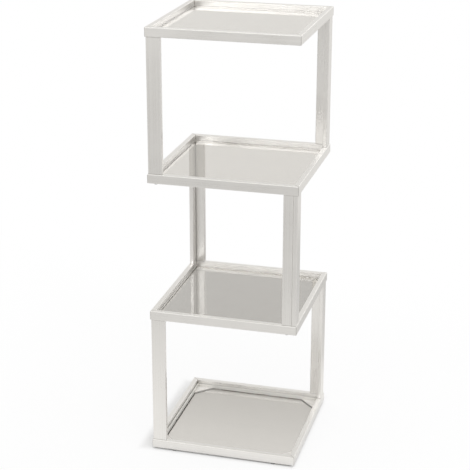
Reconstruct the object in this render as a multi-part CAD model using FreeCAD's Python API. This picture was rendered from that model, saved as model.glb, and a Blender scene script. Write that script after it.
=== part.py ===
import FreeCAD, Part
import math
import os

# Zig-zag shelving unit: four square trays of mitred tube with glass bottoms, held apart by angle
# posts that stand on two opposite corners of each tier and change diagonal from tier to tier.
# Millimetres, X to the right, Y to the back, Z up, origin on the floor under the unit's centre.

# Trays and their rails
side = 400.0
tray_pitch = 383.0
rail_height = 25.0
rail_width = 14.0
tube_wall = 1.5
edge_radius = 2.0
tray_names = ["bottom_tray", "lower_tray", "upper_tray", "top_tray"]
rail_names = ["front", "right", "back", "left"]

# Posts: a wide and a narrow flat tube side by side, set in from the trays' outer faces
post_inset = 2.0
post_span = 38.0
bar_thickness = 12.0
tier_names = ["lower_posts", "middle_posts", "upper_posts"]
tier_corners = [["front_left", "back_right"], ["front_right", "back_left"], ["front_left", "back_right"]]
corner_turns = {"front_left": 0, "front_right": 90, "back_right": 180, "back_left": 270}

# Glass and what carries it. The lists run from the bottom tray up: the carriers' height above the rails'
# underside, and the glass's distance in from the outer face. Other heights are above the carriers' underside.
carrier_levels = [0.0, 5.5, 5.5, 5.5]
glass_insets = [19.5, 16.0, 16.0, 16.0]
carrier_thickness = 1.7
carrier_height = 4.8
flange_thickness = 0.8
glass_bottom = 1.0
glass_thickness = 4.0
glass_bevel = 0.4
glass_lap = 3.0
pad_radius = 1.0
pad_place = 120.0

# Strips round the bottom tray's glass, which lies deeper than the others
strip_gap = 3.2
strip_thickness = 1.8
strip_top = 13.7
strip_round = 0.8
strip_lip = 2.4
strip_lip_depth = 1.0

# Triangular corner plates in the bottom tray, folded down on all three sides
corner_plate_leg = 47.0
corner_plate_top = 8.7
corner_plate_sheet = 1.5
corner_plate_gap = 0.1
glass_gap = 0.5

# Corner keys inside the rails and plugs inside the post tubes
key_leg = 40.0
key_slack = 0.5
plug_length = 20.0
plug_slack = 0.2

# Screws into the posts' lower ends and dowels in their upper ends
screw_radius = 2.5
screw_length = 40.0
screw_head_radius = 4.5
screw_head_height = 2.8
screw_head_round = 1.2
socket_across_flats = 3.0
socket_depth = 1.6
screw_slack = 0.2
dowel_radius = 3.0
dowel_length = 26.0
dowel_slack = 0.1

# Feet under the front and back rails of the bottom tray
foot_height = 4.0
foot_radius = 6.0
foot_round = 1.0
foot_stem_radius = 2.5
foot_stem_height = 3.5
foot_place = 60.0
foot_slack = 0.1

half = side / 2.0
post_height = tray_pitch - rail_height
narrow_span = post_span - bar_thickness
past = 1.0                  # how far a cutting shape runs past the face it cuts
parallel = 0.999            # least cosine between an edge and an axis it runs along
origin = FreeCAD.Vector(0, 0, 0)
up = FreeCAD.Vector(0, 0, 1)


def tray_base(tray):
    return foot_height + tray * tray_pitch


def turned(shape, angle):
    copy = shape.copy()
    copy.rotate(origin, up, angle)
    return copy


def prism(outline, bottom, top):
    points = [FreeCAD.Vector(x, y, bottom) for x, y in outline]
    face = Part.Face(Part.makePolygon(points + points[:1]))
    return face.extrude(FreeCAD.Vector(0, 0, top - bottom))


def block(low, high):
    size = [b - a for a, b in zip(low, high)]
    return Part.makeBox(size[0], size[1], size[2], FreeCAD.Vector(*low))


def rod(radius, x, y, bottom, top):
    return Part.makeCylinder(radius, top - bottom, FreeCAD.Vector(x, y, bottom), up)


def rounded_along(shape, direction, radius):
    # Rounds the straight edges of a block that run along one axis.
    edges = [e for e in shape.Edges if abs(e.tangentAt(e.FirstParameter).dot(direction)) > parallel]
    return shape.makeFillet(radius, edges)


def tube(low, high, axis):
    # A rectangular tube along X (0) or Z (2), with rounded outer edges and an even wall.
    direction = FreeCAD.Vector(*[1.0 if i == axis else 0.0 for i in range(3)])
    inner_low = [a if i == axis else a + tube_wall for i, a in enumerate(low)]
    inner_high = [b if i == axis else b - tube_wall for i, b in enumerate(high)]
    outer = rounded_along(block(low, high), direction, edge_radius)
    inner = rounded_along(block(inner_low, inner_high), direction, edge_radius - tube_wall)
    return outer.cut(inner)


def mitred(stick, outer_inset, inner_inset):
    # Cuts a stick along the front of a tray to a 45 degree mitre at both ends.
    outer = half - outer_inset
    inner = half - inner_inset
    outline = [(-outer, -outer), (outer, -outer), (inner, -inner), (-inner, -inner)]
    return stick.common(prism(outline, -past, tray_base(len(tray_names)))).Solids[0]


def four_sides(stick):
    return [turned(stick, 90 * i) for i in range(4)]


def bar_boxes(corner_name):
    # Where the two bars of a post stand, as (centre x, centre y, x size, y size) of each bar.
    near = -half + post_inset
    wide = (near + post_span / 2, near + bar_thickness / 2, post_span, bar_thickness)
    narrow = (near + bar_thickness / 2, near + bar_thickness + narrow_span / 2, bar_thickness, narrow_span)
    boxes = []
    for x, y, dx, dy in (wide, narrow):
        place = FreeCAD.Rotation(up, corner_turns[corner_name]).multVec(FreeCAD.Vector(x, y, 0))
        crosswise = corner_turns[corner_name] % 180 == 90
        boxes.append((place.x, place.y, dy if crosswise else dx, dx if crosswise else dy))
    return boxes


def bars_above(tray):
    corners = tier_corners[tray] if tray < len(tier_corners) else []
    return [box for corner in corners for box in bar_boxes(corner)]


def bars_below(tray):
    corners = tier_corners[tray - 1] if tray > 0 else []
    return [box for corner in corners for box in bar_boxes(corner)]


def foot_places():
    along = half - foot_place
    across = half - rail_width / 2
    return [(sx * along, sy * across) for sx in (-1, 1) for sy in (-1, 1)]


def tray_holes(tray):
    # Screw holes under the posts above, dowel holes over the posts below, and the feet's holes.
    base = tray_base(tray)
    holes = []
    for x, y, dx, dy in bars_above(tray):
        holes.append(rod(screw_radius + screw_slack, x, y, base - past, base + rail_height + past))
    for x, y, dx, dy in bars_below(tray):
        holes.append(rod(dowel_radius + dowel_slack, x, y, base - past, base + dowel_length / 2 + past))
    if tray == 0:
        for x, y in foot_places():
            holes.append(rod(foot_stem_radius + foot_slack, x, y, base - past, base + tube_wall + past))
    return Part.makeCompound(holes)


def tray_rails(tray):
    base = tray_base(tray)
    low = [-half, -half, base]
    high = [half, -half + rail_width, base + rail_height]
    rail = mitred(tube(low, high, 0), 0, rail_width)
    holes = tray_holes(tray)
    return [side_rail.cut(holes).Solids[0] for side_rail in four_sides(rail)]


def corner_keys(tray):
    # An L of solid metal in each corner, inside the two mitred rails.
    base = tray_base(tray)
    outer = -half + tube_wall + key_slack
    inner = -half + rail_width - tube_wall - key_slack
    end = -half + key_leg
    outline = [(outer, outer), (end, outer), (end, inner), (inner, inner), (inner, end), (outer, end)]
    key = prism(outline, base + tube_wall, base + rail_height - tube_wall - key_slack)
    holes = tray_holes(tray)
    return [corner.cut(holes).Solids[0] for corner in four_sides(key)]


def carrier_base(tray):
    return tray_base(tray) + carrier_levels[tray]


def glass_carriers(tray):
    # Angle strips on the rails' inner faces, with a flange under the glass.
    base = carrier_base(tray)
    wall = -half + rail_width
    reach = glass_insets[tray] + glass_lap
    leg = block([-half, wall, base], [half, wall + carrier_thickness, base + carrier_height])
    flange = block([-half, wall, base], [half, -half + reach, base + flange_thickness])
    stick = leg.fuse(flange).removeSplitter()
    return four_sides(mitred(stick, rail_width, reach))


def glass_strips():
    # Strips that stand on the bottom carriers round the glass, with a lip at the top towards the rails.
    base = carrier_base(0)
    outer = rail_width + strip_gap
    top = base + strip_top
    inner = -half + outer + strip_thickness
    upright = block([-half, -half + outer, base + flange_thickness], [half, inner, top])
    lip = block([-half, -half + outer - strip_lip, top - strip_lip_depth], [half, inner, top])
    bar = upright.fuse(lip).removeSplitter()
    crown = [e for e in bar.Edges if e.BoundBox.ZMin > top - past and e.BoundBox.YMin > inner - past]
    crown = [e for e in crown if e.BoundBox.XLength > side / 2]
    return four_sides(mitred(bar.makeFillet(strip_round, crown), outer - strip_lip, outer + strip_thickness))


def corner_cut(leg, inset):
    # The triangle in the front left corner, with equal legs along two lines set in from the faces.
    near = -half + inset
    return [(near, near), (near + leg, near), (near, near + leg)]


def corner_plate_inset():
    return rail_width + strip_gap + strip_thickness + corner_plate_gap


def corner_plates():
    # Triangular caps, folded down on three sides and open below, that stand on the bottom carriers.
    base = carrier_base(0)
    inset = corner_plate_inset()
    top = base + corner_plate_top
    bottom = base + flange_thickness
    sheet = corner_plate_sheet
    inner_leg = corner_plate_leg - sheet * (2 + math.sqrt(2.0))
    cap = prism(corner_cut(corner_plate_leg, inset), bottom, top)
    hollow = prism(corner_cut(inner_leg, inset + sheet), bottom - past, top - sheet)
    return four_sides(cap.cut(hollow).Solids[0])


def glass_panel(tray):
    # A flat pane with bevelled edges; the bottom one's corners are cut for the corner plates.
    bottom = carrier_base(tray) + glass_bottom
    edge = half - glass_insets[tray]
    outline = [(-edge, -edge), (edge, -edge), (edge, edge), (-edge, edge)]
    if tray == 0:
        flat = edge - glass_corner_leg()
        outline = [(-flat, -edge), (flat, -edge), (edge, -flat), (edge, flat),
                   (flat, edge), (-flat, edge), (-edge, flat), (-edge, -flat)]
    pane = prism(outline, bottom, bottom + glass_thickness)
    rims = [e for e in pane.Edges if e.BoundBox.ZLength < past]
    return pane.makeChamfer(glass_bevel, rims)


def glass_corner_leg():
    # Legs of the glass's cut corner: the plate's own legs, moved in by the gap along the diagonal.
    inset_step = glass_insets[0] - corner_plate_inset()
    return corner_plate_leg - 2 * inset_step + glass_gap * math.sqrt(2.0)


def glass_pads():
    # Clear film dots between the carriers' flanges and the glass, two on each side of a tray.
    pads = []
    for tray in range(len(tray_names)):
        across = -half + glass_insets[tray] + glass_lap - pad_radius
        bottom = carrier_base(tray) + flange_thickness
        top = carrier_base(tray) + glass_bottom
        for along in (-pad_place, pad_place):
            pads += four_sides(rod(pad_radius, along, across, bottom, top))
    return pads


def post_bar(tier, box):
    x, y, dx, dy = box
    bottom = tray_base(tier) + rail_height
    low = [x - dx / 2, y - dy / 2, bottom]
    high = [x + dx / 2, y + dy / 2, bottom + post_height]
    return tube(low, high, 2)


def post_plugs(tier):
    # A plug in each end of every bar: drilled for the screw below and for the dowel above.
    bottom = tray_base(tier) + rail_height
    top = bottom + post_height
    shrink = tube_wall + plug_slack
    plugs = []
    for x, y, dx, dy in bars_above(tier):
        reach_x = dx / 2 - shrink
        reach_y = dy / 2 - shrink
        screw_end = (bottom, screw_radius + screw_slack)
        dowel_end = (top - plug_length, dowel_radius + dowel_slack)
        for start, hole in (screw_end, dowel_end):
            end = start + plug_length
            plug = block([x - reach_x, y - reach_y, start], [x + reach_x, y + reach_y, end])
            plugs.append(plug.cut(rod(hole, x, y, start - past, end + past)))
    return plugs


def hexagon(x, y, across_flats):
    reach = across_flats / math.sqrt(3.0)
    angles = [math.radians(60 * i) for i in range(6)]
    return [(x + reach * math.cos(a), y + reach * math.sin(a)) for a in angles]


def post_screws(tier):
    # Button-head socket screws, driven up through the rail from below.
    base = tray_base(tier)
    screws = []
    for x, y, dx, dy in bars_above(tier):
        head = rod(screw_head_radius, x, y, base - screw_head_height, base)
        rim = [e for e in head.Edges if e.BoundBox.ZMax < base - screw_head_height / 2]
        head = head.makeFillet(screw_head_round, [e for e in rim if e.Closed])
        shank = rod(screw_radius, x, y, base, base + screw_length)
        socket_top = base - screw_head_height + socket_depth
        socket = prism(hexagon(x, y, socket_across_flats), base - screw_head_height - past, socket_top)
        screws.append(head.fuse(shank).cut(socket).removeSplitter())
    return screws


def post_dowels(tier):
    top = tray_base(tier) + rail_height + post_height
    reach = dowel_length / 2
    return [rod(dowel_radius, x, y, top - reach, top + reach) for x, y, dx, dy in bars_above(tier)]


def feet():
    glides = []
    for x, y in foot_places():
        disc = rod(foot_radius, x, y, 0, foot_height)
        disc = disc.makeFillet(foot_round, [e for e in disc.Edges if e.Closed and e.BoundBox.ZMax < past])
        stem = rod(foot_stem_radius, x, y, foot_height, foot_height + foot_stem_height)
        glides.append(disc.fuse(stem).removeSplitter())
    return glides


pieces = {}
for tray, tray_name in enumerate(tray_names):
    for rail_name, rail in zip(rail_names, tray_rails(tray)):
        pieces[tray_name + "_" + rail_name + "_rail"] = [rail]
    pieces[tray_name + "_corner_keys"] = corner_keys(tray)
    pieces[tray_name + "_glass_carriers"] = glass_carriers(tray)
    pieces[tray_name + "_glass"] = [glass_panel(tray)]

for tier, tier_name in enumerate(tier_names):
    for corner_name in tier_corners[tier]:
        for bar_name, box in zip(("wide_bar", "narrow_bar"), bar_boxes(corner_name)):
            pieces[tier_name + "_" + corner_name + "_" + bar_name] = [post_bar(tier, box)]
    pieces[tier_name + "_end_plugs"] = post_plugs(tier)
    pieces[tier_name + "_screws"] = post_screws(tier)
    pieces[tier_name + "_dowels"] = post_dowels(tier)

pieces["bottom_tray_glass_strips"] = glass_strips()
pieces["bottom_tray_corner_plates"] = corner_plates()
pieces["feet"] = feet()
pieces["glass_pads"] = glass_pads()

os.makedirs("parts", exist_ok=True)
for name, solids in pieces.items():
    shape = solids[0] if len(solids) == 1 else Part.makeCompound(solids)
    shape.exportStep("parts/" + name + ".step")
    print(name, len(shape.Solids), "valid" if shape.isValid() else "INVALID", round(shape.Volume))
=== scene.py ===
import math

import bpy
import numpy as np
from mathutils import Matrix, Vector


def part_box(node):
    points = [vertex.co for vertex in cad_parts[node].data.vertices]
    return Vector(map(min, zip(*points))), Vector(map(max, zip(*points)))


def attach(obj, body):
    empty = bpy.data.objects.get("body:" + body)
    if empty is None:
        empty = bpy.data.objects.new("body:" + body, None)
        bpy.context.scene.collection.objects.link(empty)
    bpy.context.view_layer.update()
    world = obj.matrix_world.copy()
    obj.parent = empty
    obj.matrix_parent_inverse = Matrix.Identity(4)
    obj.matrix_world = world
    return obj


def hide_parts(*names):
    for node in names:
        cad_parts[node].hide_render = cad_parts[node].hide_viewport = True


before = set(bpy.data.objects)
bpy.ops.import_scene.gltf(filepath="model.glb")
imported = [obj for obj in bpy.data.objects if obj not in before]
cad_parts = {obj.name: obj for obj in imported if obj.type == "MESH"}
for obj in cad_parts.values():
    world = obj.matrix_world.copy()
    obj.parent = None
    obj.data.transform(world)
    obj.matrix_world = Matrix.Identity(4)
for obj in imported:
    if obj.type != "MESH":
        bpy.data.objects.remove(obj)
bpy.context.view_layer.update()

# Zig-zag shelving unit: four trays of satin metal tube with smoked glass bottoms, on angle posts that
# change corners from tier to tier. Metres, X to the right, Y to the back, Z up, as the frame is.

trayNames = ["bottom_tray", "lower_tray", "upper_tray", "top_tray"]
sideNames = ["front", "right", "back", "left"]
postNodes = sorted(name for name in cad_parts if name.endswith("_bar"))
print("frame loaded,", len(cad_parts), "nodes")


# Surfaces

def roundPath(corners, steps, closed=True):
    # Each corner (x, y, radius) becomes an arc tangent to both of its edges: the arc's centre plus radius
    # times a normal that turns from the first edge's normal to the second's. An open path keeps its ends.
    spot = np.array([corner[:2] for corner in corners], float)
    radius = np.array([corner[2] for corner in corners], float)[:, None]
    ahead = np.roll(spot, -1, axis=0) - spot
    ahead /= np.linalg.norm(ahead, axis=1, keepdims=True)
    behind = np.roll(ahead, 1, axis=0)
    cross = behind[:, 0] * ahead[:, 1] - behind[:, 1] * ahead[:, 0]
    turn = np.arctan2(cross, (behind * ahead).sum(axis=1))[:, None]
    outward = np.stack([behind[:, 1], -behind[:, 0]], axis=1)
    lean = np.sign(turn) * radius                      # below zero in a hollow corner
    centre = spot - behind * radius * np.tan(abs(turn) / 2) - outward * lean
    share = np.linspace(0, 1, steps + 1)[None, :]
    angle = np.arctan2(outward[:, 1], outward[:, 0])[:, None] + turn * share
    normals = np.stack([np.cos(angle), np.sin(angle)], axis=-1)
    points = centre[:, None, :] + lean[:, None] * normals
    bend = np.sin(np.pi * share) * (turn > 0)          # how far round a standing edge a point is
    if closed:
        return points.reshape(-1, 2), normals.reshape(-1, 2), bend.reshape(-1)
    first = np.array([[ahead[0, 1], -ahead[0, 0]]])
    inner = slice(1, len(corners) - 1)
    points = np.concatenate([spot[:1], points[inner].reshape(-1, 2), spot[-1:]])
    normals = np.concatenate([first, normals[inner].reshape(-1, 2), outward[-1:]])
    return points, normals, np.concatenate([[0], bend[inner].reshape(-1), [0]])


def roundBox(width, height, radius, steps):
    # A rectangle from (0, 0) to (width, height), each corner an arc of the same radius.
    return roundPath([(x, y, radius) for x, y in ((0, 0), (width, 0), (width, height), (0, height))], steps)


def closeGrid(points, normals, uv, edge, soil, capNormals, capUv):
    # Quads between neighbouring rings of a grid whose last column meets the first, and a flat face
    # on each end.
    rows, columns = points.shape[:2]
    row = np.arange(rows - 1)[:, None]
    column = np.arange(columns)[None, :]
    corners = [(row, column), (row, column + 1), (row + 1, column + 1), (row + 1, column)]
    faces = np.stack([r * columns + c % columns for r, c in corners], axis=-1).reshape(-1, 4)
    faceUv = np.stack([uv[r, c] for r, c in corners], axis=-2).reshape(-1, 4, 2)
    faceNormals = np.stack([normals[r, c % columns] for r, c in corners], axis=-2).reshape(-1, 4, 3)
    ring = np.arange(columns)
    patches = [(faces, faceUv, faceNormals)]
    for order, normal, flat in ((ring[::-1], capNormals[0], capUv[0][::-1]),
                                (ring + (rows - 1) * columns, capNormals[1], capUv[1])):
        patches.append((order[None], flat[None], np.broadcast_to(normal, (1, columns, 3))))
    return {"points": points.reshape(-1, 3), "patches": patches,
            "edge": edge.reshape(-1), "soil": soil.reshape(-1)}


def carryOutline(outline, low, high, mitre, softEnd, steps=3, spans=5, soilReach=0.0025):
    # An outline in (y, z) carried along x: x runs from low + mitre y to high - mitre y. Within softEnd of an
    # end it shrinks along its normals by softEnd (1 - cos a) while x moves by softEnd (1 - sin a), where a
    # is a quarter turn.
    flat, flatNormals, bend = outline
    quarter = np.linspace(np.pi / 2, 0, steps + 1)
    setBack = np.concatenate([softEnd * (1 - np.sin(quarter)), [softEnd + soilReach]])
    shrink = np.concatenate([softEnd * (1 - np.cos(quarter)), [0]])
    tilt = np.concatenate([quarter, [0]])
    dirt = np.concatenate([np.ones(steps + 1), [0]])
    between = np.linspace(0, 1, spans + 1)[1:-1]
    still = np.zeros(spans - 1)
    share = np.concatenate([np.zeros(steps + 2), between, np.ones(steps + 2)])[:, None]
    shift = np.concatenate([setBack, still, -setBack[::-1]])[:, None]
    narrow = np.concatenate([shrink, still, shrink[::-1]])[:, None, None]
    lean = np.concatenate([-tilt, still, tilt[::-1]])[:, None, None]
    soil = np.concatenate([dirt, still, dirt[::-1]])[:, None]
    section = flat[None] - narrow * flatNormals[None]
    y, z = section[..., 0], section[..., 1]
    x = (1 - share) * (low + mitre * y) + share * (high - mitre * y) + shift
    ends = np.array([[-1, mitre, 0], [1, mitre, 0]]) / math.hypot(1, mitre)
    endNormal = np.where(lean < 0, ends[0], ends[1])
    upright = np.concatenate([np.zeros((len(flat), 1)), flatNormals], axis=1)[None]
    normals = np.cos(lean) * upright + np.sin(abs(lean)) * endNormal
    around = np.linalg.norm(np.diff(np.concatenate([flat, flat[:1]]), axis=0), axis=1)
    girth = np.concatenate([[0], np.cumsum(around)])
    along = np.concatenate([x, x[:, :1]], axis=1)
    uv = np.stack([along, np.broadcast_to(girth, along.shape)], axis=-1)
    points = np.stack([x, y, z], axis=-1)
    edge = np.broadcast_to(bend, x.shape)
    return closeGrid(points, normals, uv, edge, np.broadcast_to(soil, x.shape), ends, section[[0, -1]])


def spinProfile(ring, profile, place=(0, 0), share=None, inner=None):
    # A profile of (reach, height) points carried round a ring of unit reach: x, y = place + reach * ring,
    # z = height. Its normal's outward part follows the ring's normal. Where share is above 0 the inner ring
    # is mixed in.
    ringPoints, ringNormals = ring[:2]
    flat, flatNormals, bend = profile
    share = np.zeros(len(flat)) if share is None else np.asarray(share, float)
    inner = ring if inner is None else inner
    mix = share[:, None, None]
    outlines = (1 - mix) * ringPoints[None] + mix * inner[0][None]
    facing = (1 - mix) * ringNormals[None] + mix * inner[1][None]
    spread = np.array(place) + flat[:, 0, None, None] * outlines
    height = np.broadcast_to(flat[:, 1, None], spread.shape[:2])
    points = np.concatenate([spread, height[..., None]], axis=-1)
    rise = np.broadcast_to(flatNormals[:, 1, None], spread.shape[:2])
    normals = np.concatenate([flatNormals[:, 0, None, None] * facing, rise[..., None]], axis=-1)
    length = np.concatenate([[0], np.cumsum(np.linalg.norm(np.diff(flat, axis=0), axis=1))])
    around = np.linalg.norm(np.diff(np.concatenate([ringPoints, ringPoints[:1]]), axis=0), axis=1)
    girth = np.concatenate([[0], np.cumsum(around)]) * flat[:, 0].max()
    uv = np.stack(np.broadcast_arrays(girth[None, :], length[:, None]), axis=-1)
    edge = np.broadcast_to(bend[:, None], spread.shape[:2])
    caps = np.array([[0, 0, -1], [0, 0, 1]])
    return closeGrid(points, normals, uv, edge, np.zeros(edge.shape), caps, spread[[0, -1]])


def turnShape(shape, turns):
    # Turned about Z by quarter turns: (x, y) becomes (x cos - y sin, x sin + y cos).
    c, s = [(1, 0), (0, 1), (-1, 0), (0, -1)][turns % 4]
    spin = np.array([[c, s, 0], [-s, c, 0], [0, 0, 1]], float)
    patches = [(faces, uv, normals @ spin) for faces, uv, normals in shape["patches"]]
    return {**shape, "points": shape["points"] @ spin, "patches": patches}


def moveShape(shape, offset, axes=None):
    # Every point plus the offset. Axes, where they are given, are the directions that the shape's own
    # x, y and z take first.
    spin = np.eye(3) if axes is None else np.array(axes, float)
    patches = [(faces, uv, normals @ spin) for faces, uv, normals in shape["patches"]]
    return {**shape, "points": shape["points"] @ spin + np.array(offset, float), "patches": patches}


def joinShapes(shapes):
    # All points one after the other, and each shape's faces counted on from its own first point.
    starts = np.cumsum([0] + [len(shape["points"]) for shape in shapes])
    patches = []
    for shape, start in zip(shapes, starts):
        patches += [(faces + start, uv, normals) for faces, uv, normals in shape["patches"]]
    joined = {key: np.concatenate([shape[key] for shape in shapes]) for key in ("points", "edge", "soil")}
    return {**joined, "patches": patches}


def mitredStick(outline, low, high, softEnd):
    # An outline carried along the front of a tray's box, with ends mitred at 45 degrees.
    return moveShape(carryOutline(outline, low.x, high.x, 1, softEnd), (0, low.y, low.z))


def allRound(shape):
    # A shape on all four sides of a tray, as one.
    return joinShapes([turnShape(shape, turns) for turns in range(4)])


grainStep = np.array([0.37, 0.53])                     # so that no two pieces share a stretch of grain


def makePiece(name, shape, finish, node):
    # A mesh with its own grain map, edge wear and joint soil (on glass, painted rim shade), which stands
    # in for a node of the frame.
    mesh = bpy.data.meshes.new(name)
    faces = [face for patch in shape["patches"] for face in patch[0].tolist()]
    mesh.from_pydata(shape["points"].tolist(), [], faces)
    mesh.polygons.foreach_set("use_smooth", np.ones(len(faces), bool))
    grainShift = grainStep * len(bpy.data.meshes)
    uv = np.concatenate([patch[1].reshape(-1, 2) for patch in shape["patches"]]) + grainShift
    mesh.uv_layers.new(name="grain").data.foreach_set("uv", uv.astype(np.float32).reshape(-1))
    for key, title in (("edge", "edgeWear"), ("soil", "jointSoil")):
        layer = mesh.attributes.new(title, "FLOAT", "POINT")
        layer.data.foreach_set("value", shape[key].astype(np.float32))
    normals = np.concatenate([patch[2].reshape(-1, 3) for patch in shape["patches"]])
    normals = normals / np.linalg.norm(normals, axis=1, keepdims=True)
    mesh.normals_split_custom_set(normals.tolist())
    mesh.materials.append(finish)
    piece = bpy.data.objects.new(name, mesh)
    bpy.context.scene.collection.objects.link(piece)
    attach(piece, "root")
    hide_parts(node)


def plainName(node):
    # bottom_tray_front_rail becomes bottomTrayFrontRail
    first, *rest = node.split("_")
    return first + "".join(word.capitalize() for word in rest)


# Finishes

noiseRoughness, noiseMiddle = 0.55, 0.5
colourA, colourB, colourOut = 6, 7, 2                  # a Mix node's sockets for colours


class Wire:
    # One socket of a shader tree. Sums, differences and products of wires add Math nodes.
    def __init__(self, tree, socket=None):
        self.tree = tree
        self.socket = socket

    def node(self, kind, settings=None, sockets=None, out=0):
        # Any node: its settings are set first, then its sockets get their values or links.
        made = self.tree.nodes.new("ShaderNode" + kind)
        for key, value in (settings or {}).items():
            setattr(made, key, value)
        for key, value in (sockets or {}).items():
            if isinstance(value, Wire):
                self.tree.links.new(value.socket, made.inputs[key])
            else:
                made.inputs[key].default_value = value
        return Wire(self.tree, made.outputs[out] if len(made.outputs) else None)

    def math(self, operation, first, second=0.0):
        return self.node("Math", {"operation": operation}, {0: first, 1: second})

    def __add__(self, other):
        return self.math("ADD", self, other)

    def __radd__(self, other):
        return self.math("ADD", other, self)

    def __sub__(self, other):
        return self.math("SUBTRACT", self, other)

    def __rsub__(self, other):
        return self.math("SUBTRACT", other, self)

    def __mul__(self, other):
        return self.math("MULTIPLY", self, other)

    def __rmul__(self, other):
        return self.math("MULTIPLY", other, self)

    def __abs__(self):
        return self.math("ABSOLUTE", self)

    def clip(self, low=0.0, high=1.0):
        return self.node("Clamp", {}, {"Value": self, "Min": low, "Max": high})

    def between(self, low, high):
        # 0 below low, 1 above high, smooth in between
        return self.node("MapRange", {"interpolation_type": "SMOOTHSTEP"},
                         {"Value": self, "From Min": low, "From Max": high})

    def tone(self, factor, first, second):
        # A colour between two, each a wire or three numbers
        first, second = ((*c, 1) if isinstance(c, tuple) else c for c in (first, second))
        sockets = {"Factor": factor, colourA: first, colourB: second}
        return self.node("Mix", {"data_type": "RGBA"}, sockets, colourOut)

    def noise(self, coordinates, scale, detail):
        placed = self.node("Mapping", {}, {"Vector": coordinates, "Scale": scale})
        return self.node("TexNoise", {}, {"Vector": placed, "Scale": 1.0, "Detail": detail,
                                          "Roughness": noiseRoughness})

    def swing(self, coordinates, scale, detail):
        # The same noise, about zero
        return self.noise(coordinates, scale, detail) - noiseMiddle

    def grain(self):
        return self.node("UVMap", {"uv_map": "grain"})

    def place(self):
        return self.node("TexCoord", out="Object")

    def axis(self, vector, name):
        return self.node("SeparateXYZ", {}, {0: vector}, out=name)

    def mark(self, title):
        return self.node("Attribute", {"attribute_name": title}, out="Fac")

    def bump(self, height, distance, strength):
        return self.node("Bump", {}, {"Height": height, "Distance": distance, "Strength": strength})

    def shader(self, sockets):
        surface = self.node("BsdfPrincipled", {}, sockets)
        self.node("OutputMaterial", {}, {"Surface": surface})


def newFinish(name):
    material = bpy.data.materials.new(name)
    material.use_nodes = True
    material.node_tree.nodes.clear()
    return material, Wire(material.node_tree)


def blend(base, layers, shares):
    # The base plus each layer times its share.
    for layer, share in zip(layers, shares):
        base = base + layer * share
    return base


# In the looks below, a noise is its scale and detail, shares follow the order of the layers in the code,
# and a bump is its depth and strength.

satin = {"dark": (0.75, 0.741, 0.727), "light": (0.87, 0.860, 0.844), "worn": (0.92, 0.911, 0.896),
         "soil": (0.30, 0.29, 0.27), "fine": ((7.0, 4200.0, 1.0), 2.0), "broad": ((1.6, 260.0, 1.0), 3.0),
         "cloud": ((11.0, 11.0, 11.0), 4.0), "dustLine": (0.0041, 0.0050), "shade": 0.62,
         "shadeShares": (0.5, 0.9, 0.5), "wornShares": (0.35, 0.2), "soilShares": (0.55, 0.8),
         "roughness": 0.30, "roughShares": (0.16, 0.10, 0.14, 0.24, 0.25), "roughRange": (0.08, 0.9),
         "metallic": 1.0, "broadHeight": 0.6, "bump": (0.00003, 0.35)}


def satinMetal(name, look):
    # Drawn tube, satin finished along its length: fine drawing lines, broader streaks, a soft cloud of
    # handling, paler and duller standing edges, a dark line of soil in the joints, and floor dust with
    # painted shade that darkens the lowest faces.
    material, wire = newFinish(name)
    grain = wire.grain()
    fine = wire.swing(grain, *look["fine"])
    broad = wire.swing(grain, *look["broad"])
    place = wire.place()
    cloud = wire.swing(place, *look["cloud"])
    edge = wire.mark("edgeWear")
    soil = wire.mark("jointSoil")
    # Floor dust and painted shade: below the dust line, on the undersides of the lowest rails, the colour
    # goes towards the soil colour.
    dust = 1 - wire.axis(place, "Z").between(*look["dustLine"])
    shade = blend(look["shade"], (fine, broad, cloud), look["shadeShares"]).clip()
    worn = blend(0, (edge, cloud), look["wornShares"]).clip()
    dirt = blend(0, (soil * soil, dust), look["soilShares"]).clip()
    colour = wire.tone(shade, look["dark"], look["light"])
    colour = wire.tone(worn, colour, look["worn"])
    colour = wire.tone(dirt, colour, look["soil"])
    roughness = blend(look["roughness"], (fine, broad, cloud, edge, dust), look["roughShares"])
    normal = wire.bump(fine + broad * look["broadHeight"], *look["bump"])
    wire.shader({"Base Color": colour, "Roughness": roughness.clip(*look["roughRange"]),
                 "Metallic": look["metallic"], "Normal": normal})
    return material


stripLook = {"white": (0.93, 0.915, 0.875), "cream": (0.88, 0.86, 0.81), "soil": (0.42, 0.40, 0.37),
             "lines": ((3.0, 2600.0, 1.0), 2.0), "cast": ((7.0, 7.0, 7.0), 3.0),
             "scuff": ((160.0, 700.0, 1.0), 5.0), "scuffFrom": (0.62, 0.72), "creamShares": (0.8, 0.25),
             "soilShare": 0.35, "roughness": 0.38, "roughShares": (0.12, 0.14), "ior": 1.49,
             "scuffHeight": 0.3, "bump": (0.00003, 0.3)}


def stripPlastic(name, look):
    # Extruded white plastic: fine die lines along its length, a cream cast in patches and light scuffs.
    material, wire = newFinish(name)
    grain = wire.grain()
    lines = wire.swing(grain, *look["lines"])
    cast = wire.noise(wire.place(), *look["cast"])
    scuff = wire.noise(grain, *look["scuff"]).between(*look["scuffFrom"])
    cream = blend(0, (cast, lines), look["creamShares"]).clip()
    colour = wire.tone(cream, look["white"], look["cream"])
    colour = wire.tone(wire.mark("jointSoil") * look["soilShare"], colour, look["soil"])
    roughness = blend(look["roughness"], (lines, scuff), look["roughShares"])
    normal = wire.bump(lines + scuff * look["scuffHeight"], *look["bump"])
    wire.shader({"Base Color": colour, "Roughness": roughness, "IOR": look["ior"], "Normal": normal})
    return material


# The rim colour is painted shade at the panes' edges.
glassLook = {"tint": (0.662, 0.638, 0.598), "film": (0.616, 0.592, 0.553), "rim": (0.10, 0.088, 0.075),
             "wiped": ((5.0, 26.0, 1.0), 4.0), "smearFrom": (0.5, 0.75),
             "dust": ((900.0, 900.0, 900.0), 2.0), "speckFrom": (0.70, 0.78), "filmShares": (0.6, 0.4),
             "rimShare": 0.9, "roughness": 0.008, "roughShares": (0.02, 0.05), "roughRange": (0.0, 0.2),
             "ior": 1.5, "transmission": 1.0}


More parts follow.
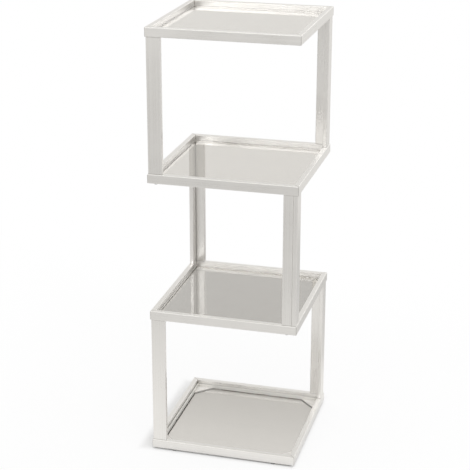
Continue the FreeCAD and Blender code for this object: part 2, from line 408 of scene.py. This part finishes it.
def smokedGlass(name, look):
    # Smoked reflective glass: an almost even tint with faint wiping marks and a little dust, and painted
    # shade that darkens the rim.
    material, wire = newFinish(name)
    place = wire.place()
    wiped = wire.noise(place, *look["wiped"])
    dust = wire.noise(place, *look["dust"]).between(*look["speckFrom"])
    film = blend(0, (wiped, dust), look["filmShares"]).clip()
    colour = wire.tone(film, look["tint"], look["film"])
    # Painted shade: the rim mark darkens the tint towards the near-black rim colour.
    colour = wire.tone(wire.mark("jointSoil") * look["rimShare"], colour, look["rim"])
    smear = wiped.between(*look["smearFrom"])
    roughness = blend(look["roughness"], (smear, dust), look["roughShares"]).clip(*look["roughRange"])
    wire.shader({"Base Color": colour, "Roughness": roughness, "IOR": look["ior"],
                 "Transmission Weight": look["transmission"]})
    return material


plateLook = {"dark": (0.80, 0.775, 0.74), "light": (0.90, 0.88, 0.85), "rubbed": (0.93, 0.91, 0.89),
             "polish": ((420.0, 60.0, 60.0), 3.0), "crossing": ((60.0, 420.0, 60.0), 3.0),
             "cloud": ((40.0, 40.0, 40.0), 3.0), "shadeShares": (0.4, 0.4), "edgeShare": 0.4,
             "roughness": 0.34, "roughShares": (0.15, 0.15), "roughRange": (0.05, 0.8), "metallic": 0.3,
             "bump": (0.00003, 0.3)}


def pressedPlate(name, look):
    # Bright pressed sheet: crossing polish lines, paler where the folds are rubbed.
    material, wire = newFinish(name)
    place = wire.place()
    polish = wire.swing(place, *look["polish"])
    crossing = wire.swing(place, *look["crossing"])
    cloud = wire.noise(place, *look["cloud"])
    shade = blend(cloud, (polish, crossing), look["shadeShares"]).clip()
    colour = wire.tone(shade, look["dark"], look["light"])
    colour = wire.tone(wire.mark("edgeWear") * look["edgeShare"], colour, look["rubbed"])
    roughness = blend(look["roughness"], (polish, crossing), look["roughShares"]).clip(*look["roughRange"])
    normal = wire.bump(polish + crossing, *look["bump"])
    wire.shader({"Base Color": colour, "Roughness": roughness, "Metallic": look["metallic"],
                 "Normal": normal})
    return material


carrierLook = {"dark": (0.64, 0.628, 0.606), "light": (0.80, 0.787, 0.762),
               "lines": ((5.0, 1800.0, 1.0), 3.0), "bloom": ((55.0, 55.0, 55.0), 5.0), "shade": 0.5,
               "shadeShares": (1.0, 0.6), "roughness": 0.40, "roughShares": (0.3, 0.2),
               "roughRange": (0.1, 0.9), "metallic": 0.9, "bump": (0.00004, 0.4)}


def anodisedMetal(name, look):
    # Grey anodised extrusion: die lines along its length and dull grey blooms.
    material, wire = newFinish(name)
    lines = wire.swing(wire.grain(), *look["lines"])
    bloom = wire.swing(wire.place(), *look["bloom"])
    shade = blend(look["shade"], (bloom, lines), look["shadeShares"]).clip()
    colour = wire.tone(shade, look["dark"], look["light"])
    roughness = blend(look["roughness"], (bloom, lines), look["roughShares"]).clip(*look["roughRange"])
    wire.shader({"Base Color": colour, "Roughness": roughness, "Metallic": look["metallic"],
                 "Normal": wire.bump(lines, *look["bump"])})
    return material


keyLook = {"dark": (0.34, 0.34, 0.345), "light": (0.52, 0.52, 0.525), "sand": ((1500.0, 1500.0, 1500.0), 4.0),
           "flow": ((70.0, 70.0, 70.0), 3.0), "shadeShares": (0.5, 0.5), "roughness": 0.45,
           "sandRoughness": 0.25, "metallic": 0.8, "bump": (0.0001, 0.5)}


def castMetal(name, look):
    # Cast grey metal with a sandy skin.
    material, wire = newFinish(name)
    place = wire.place()
    sand = wire.noise(place, *look["sand"])
    flow = wire.noise(place, *look["flow"])
    shade = blend(0, (sand, flow), look["shadeShares"]).clip()
    colour = wire.tone(shade, look["dark"], look["light"])
    roughness = look["roughness"] + sand * look["sandRoughness"]
    wire.shader({"Base Color": colour, "Roughness": roughness, "Metallic": look["metallic"],
                 "Normal": wire.bump(sand, *look["bump"])})
    return material


moulded = {"rubbed": ((180.0, 180.0, 180.0), 4.0), "rubbedFrom": (0.5, 0.7), "shadeShares": (0.4, 0.6),
           "roughness": 0.42, "roughShares": (0.2, 0.1), "bump": (0.00008, 0.5)}
footLook = {**moulded, "dark": (0.16, 0.16, 0.162), "light": (0.26, 0.258, 0.25),
            "grit": ((2600.0, 2600.0, 2600.0), 3.0)}
plugLook = {**moulded, "dark": (0.10, 0.10, 0.105), "light": (0.17, 0.17, 0.172),
            "grit": ((1400.0, 1400.0, 1400.0), 3.0)}


def mouldedPlastic(name, look):
    # Dark moulded plastic with a fine sparked grain and rubbed, greyer patches.
    material, wire = newFinish(name)
    place = wire.place()
    grit = wire.noise(place, *look["grit"])
    rubbed = wire.noise(place, *look["rubbed"]).between(*look["rubbedFrom"])
    shade = blend(0, (grit, rubbed), look["shadeShares"]).clip()
    colour = wire.tone(shade, look["dark"], look["light"])
    roughness = blend(look["roughness"], (grit, rubbed), look["roughShares"])
    wire.shader({"Base Color": colour, "Roughness": roughness, "Normal": wire.bump(grit, *look["bump"])})
    return material


steel = {"marks": ((150.0, 150.0, 3200.0), 2.0), "plating": ((300.0, 300.0, 300.0), 4.0), "shade": 0.5,
         "shadeShares": (1.0, 0.5), "roughShares": (0.2, 0.15), "roughRange": (0.08, 0.8), "metallic": 1.0,
         "bump": (0.00003, 0.3)}
screwLook = {**steel, "dark": (0.46, 0.47, 0.50), "light": (0.72, 0.73, 0.75), "roughness": 0.28}
dowelLook = {**steel, "dark": (0.42, 0.42, 0.42), "light": (0.66, 0.66, 0.655), "roughness": 0.35}


def platedSteel(name, look):
    # Bright plated steel with turning marks round it and a cloudy plating.
    material, wire = newFinish(name)
    place = wire.place()
    marks = wire.swing(place, *look["marks"])
    plating = wire.swing(place, *look["plating"])
    shade = blend(look["shade"], (plating, marks), look["shadeShares"]).clip()
    colour = wire.tone(shade, look["dark"], look["light"])
    roughness = blend(look["roughness"], (plating, marks), look["roughShares"]).clip(*look["roughRange"])
    wire.shader({"Base Color": colour, "Roughness": roughness, "Metallic": look["metallic"],
                 "Normal": wire.bump(marks, *look["bump"])})
    return material


padLook = {"clear": (0.86, 0.87, 0.86), "cloudy": (0.70, 0.71, 0.70), "cloud": ((500.0, 500.0, 500.0), 3.0),
           "roughness": 0.25, "cloudRoughness": 0.2, "ior": 1.42, "transmission": 0.6}


def softPad(name, look):
    # Soft clear pads, a little cloudy.
    material, wire = newFinish(name)
    cloud = wire.noise(wire.place(), *look["cloud"])
    colour = wire.tone(cloud, look["clear"], look["cloudy"])
    roughness = look["roughness"] + cloud * look["cloudRoughness"]
    wire.shader({"Base Color": colour, "Roughness": roughness, "IOR": look["ior"],
                 "Transmission Weight": look["transmission"]})
    return material


railFinish = satinMetal("railSatin", satin)
postFinish = satinMetal("postSatin", satin)
stripFinish = stripPlastic("whiteStrip", stripLook)
glassFinish = smokedGlass("smokedGlass", glassLook)
plateFinish = pressedPlate("brightPlate", plateLook)
carrierFinish = anodisedMetal("greyCarrier", carrierLook)
keyFinish = castMetal("castKey", keyLook)
plugFinish = mouldedPlastic("darkPlug", plugLook)
screwFinish = platedSteel("platedScrew", screwLook)
dowelFinish = platedSteel("groundDowel", dowelLook)
footFinish = mouldedPlastic("blackFoot", footLook)
padFinish = softPad("clearPad", padLook)
print("finishes made")


# Tray rails: mitred tubes with rounded edges and a hairline at each mitre

rail = {"edgeRadius": 0.0020, "edgeSteps": 7, "softEnd": 0.00022}
for tray in trayNames:
    low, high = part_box(tray + "_front_rail")
    outline = roundBox(high.y - low.y, high.z - low.z, rail["edgeRadius"], rail["edgeSteps"])
    stick = mitredStick(outline, low, high, rail["softEnd"])
    for turns, side in enumerate(sideNames):
        node = tray + "_" + side + "_rail"
        makePiece(plainName(node), turnShape(stick, turns), railFinish, node)
print("rails made")


# Posts: flat tubes that butt on the rails, two side by side to each post

post = {"edgeRadius": 0.0020, "edgeSteps": 7, "softEnd": 0.00030}
for node in postNodes:
    low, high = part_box(node)
    outline = roundBox(high.x - low.x, high.y - low.y, post["edgeRadius"], post["edgeSteps"])
    stick = carryOutline(outline, low.z, high.z, 0, post["softEnd"])
    upright = moveShape(stick, (low.x, low.y, 0), [(0, 0, 1), (1, 0, 0), (0, 1, 0)])
    makePiece(plainName(node), upright, postFinish, node)
print("posts made")


# Carriers under the glass: angle sticks, mitred

carrier = {"leg": 0.0017, "flange": 0.0008, "lap": 0.0030, "edgeRadius": 0.00025, "edgeSteps": 3,
           "softEnd": 0.0001}
for tray in trayNames:
    node = tray + "_glass_carriers"
    low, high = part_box(node)
    leg, flange, r = (carrier[key] for key in ("leg", "flange", "edgeRadius"))
    tall = high.z - low.z
    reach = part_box(tray + "_glass")[0].y + carrier["lap"] - low.y
    outline = roundPath([(0, 0, r), (reach, 0, r), (reach, flange, r), (leg, flange, r), (leg, tall, r),
                         (0, tall, r)], carrier["edgeSteps"])
    sticks = allRound(mitredStick(outline, low, high, carrier["softEnd"]))
    makePiece(plainName(node), sticks, carrierFinish, node)
print("carriers made")


# Strips round the bottom glass: thin upright sticks with a rounded top and a lip towards the rail, mitred

strip = {"thickness": 0.0018, "crown": 0.0008, "foot": 0.0002, "lip": 0.0024, "lipDepth": 0.0010,
         "lipEdge": 0.0003, "edgeSteps": 5, "softEnd": 0.00015}
node = "bottom_tray_glass_strips"
low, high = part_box(node)
tall = high.z - low.z
lip, crown, toe, soft = (strip[key] for key in ("lip", "crown", "foot", "lipEdge"))
inside, under = lip + strip["thickness"], tall - strip["lipDepth"]
outline = roundPath([(lip, 0, toe), (inside, 0, toe), (inside, tall, crown), (0, tall, soft),
                     (0, under, soft), (lip, under, soft)], strip["edgeSteps"])
sticks = allRound(mitredStick(outline, low, high, strip["softEnd"]))
makePiece(plainName(node), sticks, stripFinish, node)
print("strips made")


# Corner plates of the bottom tray: triangular caps of sheet, folded down on three sides

plate = {"leg": 0.0470, "sheet": 0.0015, "fold": 0.0014, "rim": 0.0003, "cornerRadius": 0.0016,
         "tipShare": 1 / 3, "flatShare": 0.4, "edgeSteps": 5}
plateInRadius = plate["leg"] * (2 - math.sqrt(2)) / 2


def plateShape(low, top):
    # A right triangle's outline with rounded corners, scaled about its inner circle's centre, carries the
    # section of the fold: under the sheet, down the inner wall, round the rim, up the outer wall and over.
    leg, r, sheet, rim, steps = (plate[key] for key in ("leg", "cornerRadius", "sheet", "rim", "edgeSteps"))
    tip = r * plate["tipShare"]
    outline = roundPath([(0, 0, r), (leg, 0, tip), (0, leg, tip)], steps)
    ring = ((outline[0] - plateInRadius) / plateInRadius, outline[1])
    reach, under, wall = plateInRadius, top - sheet, plateInRadius - sheet
    flat = wall * plate["flatShare"]
    profile = roundPath([(flat, under, 0), (wall, under, rim), (wall, low.z, rim), (reach, low.z, rim),
                         (reach, top, plate["fold"]), (flat, top, 0)], steps, closed=False)
    return spinProfile(ring, profile, (low.x + plateInRadius, low.y + plateInRadius))


node = "bottom_tray_corner_plates"
low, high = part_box(node)
makePiece(plainName(node), allRound(plateShape(low, high.z)), plateFinish, node)
print("corner plates made")


# Glass panes with a rounded arris and painted shade at the rim, the bottom one with cut corners and the
# darkest rim

pane = {"arris": 0.0006, "gap": 0.0005, "cornerRadius": 0.0015, "rim": 0.0028, "deepRim": 1.0,
        "plainRim": 0.2, "edgeSteps": 4}
for tray in trayNames:
    node = tray + "_glass"
    low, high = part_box(node)
    reach, arris, steps = high.x, pane["arris"], pane["edgeSteps"]
    places = [(-1, -1), (1, -1), (1, 1), (-1, 1)]
    paneRimShade = pane["plainRim"]
    if tray == "bottom_tray":
        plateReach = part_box("bottom_tray_corner_plates")[1].x
        cut = plate["leg"] - 2 * (plateReach - reach) + pane["gap"] * math.sqrt(2)
        flat = 1 - cut / reach
        places = [(-flat, -1), (flat, -1), (1, -flat), (1, flat),
                  (flat, 1), (-flat, 1), (-1, flat), (-1, -flat)]
        paneRimShade = pane["deepRim"]
    outline = roundPath([(x, y, pane["cornerRadius"] / reach) for x, y in places], steps)
    inside = reach - pane["rim"]
    profile = roundPath([(inside, low.z, 0), (reach, low.z, arris), (reach, high.z, arris),
                         (inside, high.z, 0)], steps, closed=False)
    sheet = spinProfile(outline, profile)
    rim = profile[0][:, 0] > reach - pane["rim"] / 2
    # Painted shade near the rim: full on the bottom pane, faint on the others.
    sheet["soil"] = np.repeat(rim * paneRimShade, len(sheet["points"]) // len(rim))
    makePiece(plainName(node), sheet, glassFinish, node)
print("glass made")


# Round parts: feet, screws and pads

def circle(count):
    # Points of a unit circle, which are its normals too.
    angle = np.arange(count) * 2 * np.pi / count
    unit = np.stack([np.cos(angle), np.sin(angle)], axis=1)
    return unit, unit


def hexagon(count):
    # A circle's points moved out to the flat sides round it: reach over the cosine of the angle to the
    # nearest side's middle.
    unit = circle(count)[0]
    angle = np.arange(count) * 2 * np.pi / count
    sixth = np.pi / 3
    side = np.round(angle / sixth) * sixth
    facing = np.stack([np.cos(side), np.sin(side)], axis=1)
    return unit / np.cos(angle - side)[:, None], facing


foot = {"radius": 0.0060, "stem": 0.0025, "sole": 0.0010, "rim": 0.0004, "neck": 0.0002, "flatShare": 0.3,
        "edgeSteps": 5, "points": 40}
low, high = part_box("feet")
radius, stem, rim, flat = (foot[key] for key in ("radius", "stem", "rim", "flatShare"))
along, across = high.x - radius, high.y - radius
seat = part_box("bottom_tray_front_rail")[0].z
profile = roundPath([(radius * flat, low.z, 0), (radius, low.z, foot["sole"]), (radius, seat, rim),
                     (stem, seat, foot["neck"]), (stem, high.z, rim), (stem * flat, high.z, 0)],
                    foot["edgeSteps"], closed=False)
places = [(x, y) for x in (-along, along) for y in (-across, across)]
feet = [spinProfile(circle(foot["points"]), profile, place) for place in places]
makePiece("feetSet", joinShapes(feet), footFinish, "feet")

screw = {"shank": 0.0025, "head": 0.0045, "round": 0.0012, "socket": 0.0015, "socketDepth": 0.0016,
         "rim": 0.0002, "flatShare": 0.4, "edgeSteps": 5, "points": 48}


def screwShape(place, bottom, seat, top):
    # Socket floor, six-sided socket wall, domed head, then the shank.
    shank, head, socket, rim, flat = (screw[key] for key in ("shank", "head", "socket", "rim", "flatShare"))
    floor = bottom + screw["socketDepth"]
    profile = roundPath([(socket * flat, floor, 0), (socket, floor, rim / 2), (socket, bottom, rim),
                         (head, bottom, screw["round"]), (head, seat, rim), (shank, seat, rim / 2),
                         (shank, top, rim), (shank * flat, top, 0)], screw["edgeSteps"], closed=False)
    sixSided = profile[0][:, 0] <= socket + rim / 2
    beforeHead = np.arange(len(sixSided)) < len(sixSided) // 2
    count = screw["points"]
    return spinProfile(circle(count), profile, place, sixSided & beforeHead, hexagon(count))


for tier, tray in zip(("lower_posts", "middle_posts", "upper_posts"), trayNames):
    node = tier + "_screws"
    low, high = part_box(node)
    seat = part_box(tray + "_front_rail")[0].z
    bars = [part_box(name) for name in postNodes if name.startswith(tier)]
    places = [((a.x + b.x) / 2, (a.y + b.y) / 2) for a, b in bars]
    screws = [screwShape(place, low.z, seat, high.z) for place in places]
    makePiece(plainName(node), joinShapes(screws), screwFinish, node)

pad = {"radius": 0.0010, "place": 0.120, "rim": 0.00005, "flatShare": 0.4, "edgeSteps": 3, "points": 20}
pads = []
for tray in trayNames:
    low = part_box(tray + "_glass")[0]
    bottom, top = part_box(tray + "_glass_carriers")[0].z + carrier["flange"], low.z
    radius, rim = pad["radius"], pad["rim"]
    across, flat = low.y + carrier["lap"] - radius, radius * pad["flatShare"]
    profile = roundPath([(flat, bottom, 0), (radius, bottom, rim), (radius, top, rim), (flat, top, 0)],
                        pad["edgeSteps"], closed=False)
    for x in (-pad["place"], pad["place"]):
        pads.append(allRound(spinProfile(circle(pad["points"]), profile, (x, across))))
makePiece("padSet", joinShapes(pads), padFinish, "glass_pads")
print("feet, screws and pads made")


# Pieces of the frame that keep their own shape

keptFinishes = {"_corner_keys": keyFinish, "_end_plugs": plugFinish, "_dowels": dowelFinish}
for name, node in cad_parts.items():
    for ending, finish in keptFinishes.items():
        if name.endswith(ending):
            node.data.materials.clear()
            node.data.materials.append(finish)
print("kept pieces finished")


# Floor, light and camera

white = (1.0, 1.0, 1.0)
black = (0.0, 0.0, 0.0)


def seenRays(wire):
    # What is seen straight, in a reflection and through glass, apart from light that only falls on things.
    outputs = wire.node("LightPath").socket.node.outputs
    names = ("Is Camera Ray", "Is Glossy Ray", "Is Transmission Ray")
    return [Wire(wire.tree, outputs[name]) for name in names]


# Distances from the middle in metres, and shares of plain white or drops from it.
stage = {"reach": 9.0, "paper": (0.93, 0.93, 0.93), "fibre": (0.90, 0.90, 0.90),
         "fibreNoise": ((1.5, 1.5, 1.5), 2.0), "fibreShare": 0.15, "warm": (1.0, 0.985, 0.955),
         "shadeCentre": (-0.020, 0.012), "contact": (0.203, 0.230), "nearShare": 0.85,
         "whiteReach": (0.40, 1.30), "underSpan": (0.24, -0.24), "underShare": (0.62, 1.00),
         "underEdge": (0.24, 0.35), "mirrorEdge": (0.190, 0.250), "mirrorUnder": 0.05,
         "dimZone": ((0.35, 0.55), (1.40, 1.90)), "dimDrop": (0.37, 0.22), "frontSpan": (-0.6, 0.2),
         "far": (0.45, 1.70), "farDrop": (0.12, 0.30)}


def paleFloor():
    # White paper that takes the shadow close to the object and is plain white further off. Mirrored in the
    # object it is plain, with painted shade darkening it with distance, most in front. Through glass its
    # shadow shows; there and in reflections a painted shade dims a zone behind. From below it is clear.
    material, wire = newFinish("paleFloor")
    camera, glossy, passed = seenRays(wire)
    mirror = glossy * (1 - passed)
    place = wire.place()
    x, y = wire.axis(place, "X"), wire.axis(place, "Y")
    away = wire.node("VectorMath", {"operation": "LENGTH"}, {0: place}, out="Value")
    outside = wire.math("MAXIMUM", abs(x), abs(y))
    shadeX, shadeY = stage["shadeCentre"]
    shade = wire.math("MAXIMUM", abs(x - shadeX), abs(y - shadeY))
    bare = shade.between(*stage["contact"]) * stage["nearShare"]
    bare = bare + shade.between(*stage["whiteReach"]) * (1 - stage["nearShare"])
    dark, pale = stage["underShare"]
    under = dark + y.between(*stage["underSpan"]) * (pale - dark)
    under = under + outside.between(*stage["underEdge"]) * (1 - under)
    beside = stage["mirrorUnder"] + outside.between(*stage["mirrorEdge"]) * (1 - stage["mirrorUnder"])
    share = camera * bare + passed * under + mirror * beside
    # Painted shade on the floor's plain white: a dim zone behind the object, and a darkening with distance in
    # reflections.
    dimStart, dimEnd = stage["dimZone"]
    throughDrop, mirrorDrop = stage["dimDrop"]
    dim = y.between(*dimStart) * (1 - y.between(*dimEnd)) * (passed * throughDrop + mirror * mirrorDrop)
    behind, inFront = stage["farDrop"]
    drop = behind + (1 - y.between(*stage["frontSpan"])) * (inFront - behind)
    level = 1 - dim - away.between(*stage["far"]) * drop * mirror
    fibre = wire.noise(place, *stage["fibreNoise"])
    paper = wire.tone(fibre * stage["fibreShare"], stage["paper"], stage["fibre"])
    lit = wire.node("BsdfDiffuse", {}, {"Color": paper})
    plain = wire.tone(level, black, wire.tone(mirror, white, stage["warm"]))
    plain = wire.node("Emission", {}, {"Color": plain})
    surface = wire.node("MixShader", {}, {0: share.clip(), 1: lit, 2: plain})
    fromBelow = wire.node("NewGeometry", out="Backfacing")
    surface = wire.node("MixShader", {}, {0: fromBelow, 1: surface, 2: wire.node("BsdfTransparent")})
    wire.node("OutputMaterial", {}, {"Surface": surface})
    return material


paperCorners = [(x * stage["reach"], y * stage["reach"], 0) for x, y in ((-1, -1), (1, -1), (1, 1), (-1, 1))]
floorMesh = bpy.data.meshes.new("floor")
floorMesh.from_pydata(paperCorners, [], [(0, 1, 2, 3)])
floorMesh.materials.append(paleFloor())
floor = bpy.data.objects.new("floor", floorMesh)
bpy.context.scene.collection.objects.link(floor)

# White where it is seen, a little dimmer and warmer in reflections, and a plain grey as light.
sky = {"light": (0.88, 0.88, 0.88), "mirrored": (0.88, 0.867, 0.840)}
world = bpy.data.worlds.new("studio")
world.use_nodes = True
world.node_tree.nodes.clear()
wire = Wire(world.node_tree)
camera, glossy, passed = seenRays(wire)
unseen = wire.tone(glossy, sky["light"], sky["mirrored"])
light = wire.tone((camera + passed).clip(), unseen, white)
light = wire.node("Background", {}, {"Color": light})
wire.node("OutputWorld", {}, {"Surface": light})
bpy.context.scene.world = world

lamps = {
    "frontTop": {"place": (1.2, -2.5, 3.1), "aim": (0, 0, 0.6), "size": (2.2, 2.2), "watts": 20.0},
    "frontLeft": {"place": (-1.8, -5.0, 2.45), "aim": (0, 0.1, 0.6), "size": (1.9, 1.4), "watts": 25.0},
    "backRight": {"place": (0.90, 3.4, 1.9), "aim": (0, 0, 0.6), "size": (1.4, 1.4), "watts": 6.5},
    "overhead": {"place": (0.6, 0.4, 3.6), "aim": (0, 0, 0.6), "size": (2.4, 2.4), "watts": 8.0},
}
for name, lamp in lamps.items():
    data = bpy.data.lights.new(name, "AREA")
    data.shape = "RECTANGLE"
    data.size, data.size_y = lamp["size"]
    data.energy = lamp["watts"]
    soft = bpy.data.objects.new(name, data)
    away = np.array(lamp["place"], float) - np.array(lamp["aim"], float)
    away /= np.linalg.norm(away)
    across = np.cross((0, 0, 1), away)                 # level, so that the lamp's sides are
    across /= np.linalg.norm(across)
    turn = Matrix(np.stack([across, np.cross(away, across), away], axis=1).tolist()).to_4x4()
    soft.matrix_world = Matrix.Translation(lamp["place"]) @ turn
    bpy.context.scene.collection.objects.link(soft)

view = {"place": (0.8887, -3.3678, 1.8542), "yaw": 15.09, "pitch": 19.153, "roll": 0.085,
        "lens": 104.29, "sensor": 36.0, "shiftY": -0.05}
yaw, pitch, roll = (math.radians(view[key]) for key in ("yaw", "pitch", "roll"))
ahead = np.array([-math.sin(yaw) * math.cos(pitch), math.cos(yaw) * math.cos(pitch), -math.sin(pitch)])
right = np.array([math.cos(yaw), math.sin(yaw), 0])
up = np.cross(right, ahead)
tilted = [math.cos(roll) * right + math.sin(roll) * up, math.cos(roll) * up - math.sin(roll) * right, -ahead]
lens = bpy.data.cameras.new("photoView")
lens.sensor_fit = "HORIZONTAL"
lens.sensor_width = view["sensor"]
lens.lens = view["lens"]
lens.shift_y = view["shiftY"]
eye = bpy.data.objects.new("photoView", lens)
eye.matrix_world = Matrix.Translation(view["place"]) @ Matrix(np.stack(tilted, axis=1).tolist()).to_4x4()
bpy.context.scene.collection.objects.link(eye)
bpy.context.scene.camera = eye
bpy.context.scene.view_settings.view_transform = "Standard"
print("stage, lamps and camera set")
